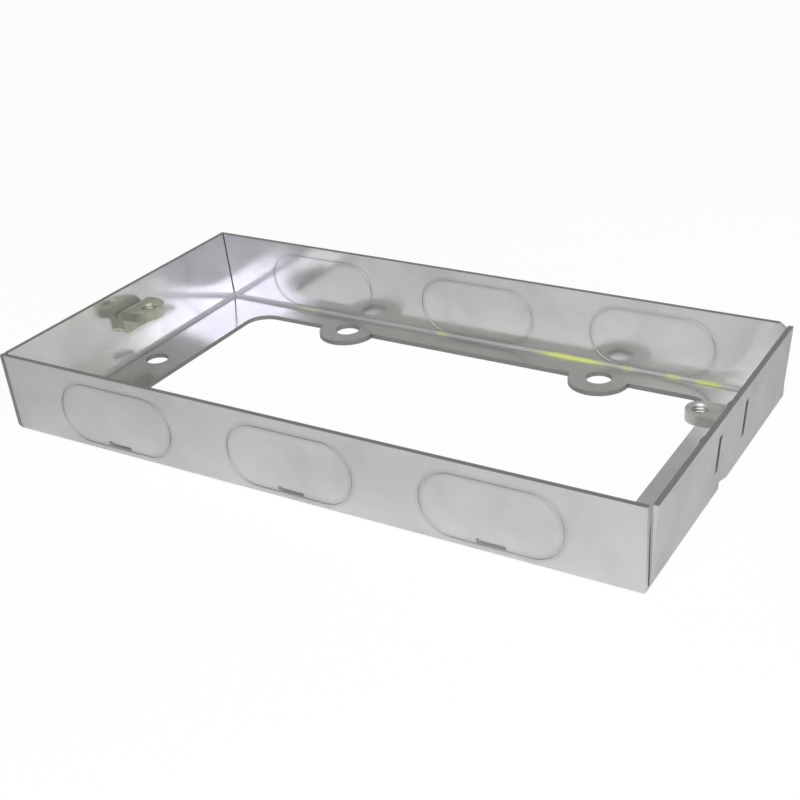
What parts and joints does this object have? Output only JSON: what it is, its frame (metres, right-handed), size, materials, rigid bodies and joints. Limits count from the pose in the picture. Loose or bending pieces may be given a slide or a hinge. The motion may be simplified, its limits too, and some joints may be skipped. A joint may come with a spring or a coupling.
{
  "type": "flush back box",
  "caption": "Shallow folded steel back box for a flush accessory plate, open at the back inside a flange, with knockouts, fixing rings, a fixed lug and a sliding lug.",
  "frame": {"origin": "middle of the footprint, on the underside of the flange", "axes": "+X along the length towards the sliding lug, +Y across the width, +Z out of the wall towards the rim"},
  "size_m": [0.135, 0.072, 0.0165],
  "materials": {
    "galvanised_sheet": "bright galvanised sheet",
    "passivated_lug": "dull olive passivated zinc"
  },
  "bodies": {
    "box": {"box_body": "galvanised_sheet", "fixed_lug": "passivated_lug"},
    "lug": {"adjustable_lug": "passivated_lug"}
  },
  "joints": [
    {"name": "lug_slide", "type": "slide", "parent": "box", "child": "lug", "axis": [0, 1, 0], "range_m": [-0.0059, 0.0005]}
  ]
}
